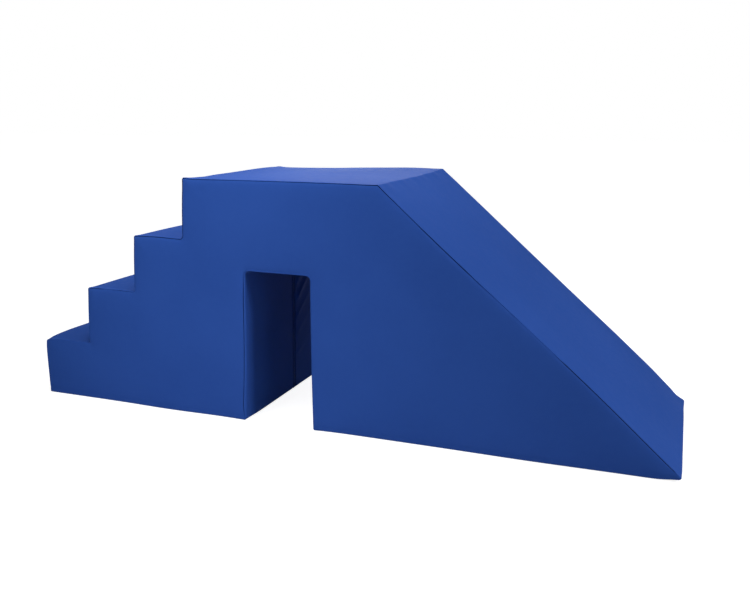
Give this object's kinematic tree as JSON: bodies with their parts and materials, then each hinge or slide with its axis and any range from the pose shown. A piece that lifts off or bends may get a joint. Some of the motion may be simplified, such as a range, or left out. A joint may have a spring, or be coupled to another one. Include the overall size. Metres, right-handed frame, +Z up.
{
  "type": "soft play stairs and slide block",
  "caption": "Foam soft play block with steps at one end, a platform, a straight slide at the other end and a doorway tunnel through it, in a zipped coated-fabric cover.",
  "frame": {"origin": "on the floor, under the middle of the block's length and width", "axes": "+X runs from the foot of the stairs to the toe of the slide, +Y from the near side to the far side, +Z up"},
  "size_m": [2.2, 0.715, 0.8],
  "materials": {
    "cover": "satin",
    "foam": "matte",
    "zip_tape": "matte",
    "zip_coil": "satin",
    "zip_metal": "satin"
  },
  "bodies": {
    "block": {"foam_step_1": "foam", "foam_step_2": "foam", "foam_step_3": "foam", "foam_lintel": "foam", "foam_platform": "foam", "foam_slide_tier_1": "foam", "foam_slide_tier_2": "foam", "foam_slide_tier_3": "foam", "side_panel_near": "cover", "side_panel_far": "cover", "riser_1_panel": "cover", "tread_1_riser_2_panel": "cover", "tread_2_riser_3_panel": "cover", "tread_3_riser_4_panel": "cover", "platform_slide_panel": "cover", "base_panel_slide_near": "cover", "base_panel_slide_far": "cover", "base_panel_stairs_near": "cover", "base_panel_stairs_far": "cover", "tunnel_liner_near": "cover", "tunnel_liner_far": "cover", "zip_end_tab_slide": "cover", "zip_end_tab_stairs": "cover", "zip_tape_near": "zip_tape", "zip_tape_far": "zip_tape", "zip_coil_near": "zip_coil", "zip_coil_far": "zip_coil", "zip_end_stop_slide": "zip_metal", "zip_end_stop_stairs": "zip_metal"},
    "lower_slider": {"zip_slider_lower": "zip_metal"},
    "lower_tab": {"pull_tab_lower": "zip_metal"},
    "upper_slider": {"zip_slider_upper": "zip_metal"},
    "upper_tab": {"pull_tab_upper": "zip_metal"}
  },
  "joints": [
    {"name": "lower_slider_travel", "type": "slide", "parent": "block", "child": "lower_slider", "axis": [0, 0, -1], "range_m": [0, 0.2]},
    {"name": "upper_slider_travel", "type": "slide", "parent": "block", "child": "upper_slider", "axis": [0, 0, 1], "range_m": [0, 0.185]},
    {"name": "lower_tab_swing", "type": "hinge", "parent": "lower_slider", "child": "lower_tab", "pos_m": [-0.0374, 0, 0.2477], "axis": [0, 1, 0], "range_deg": [0, 165]},
    {"name": "upper_tab_swing", "type": "hinge", "parent": "upper_slider", "child": "upper_tab", "pos_m": [-0.0374, 0, 0.2763], "axis": [0, 1, 0], "range_deg": [0, 175]}
  ]
}
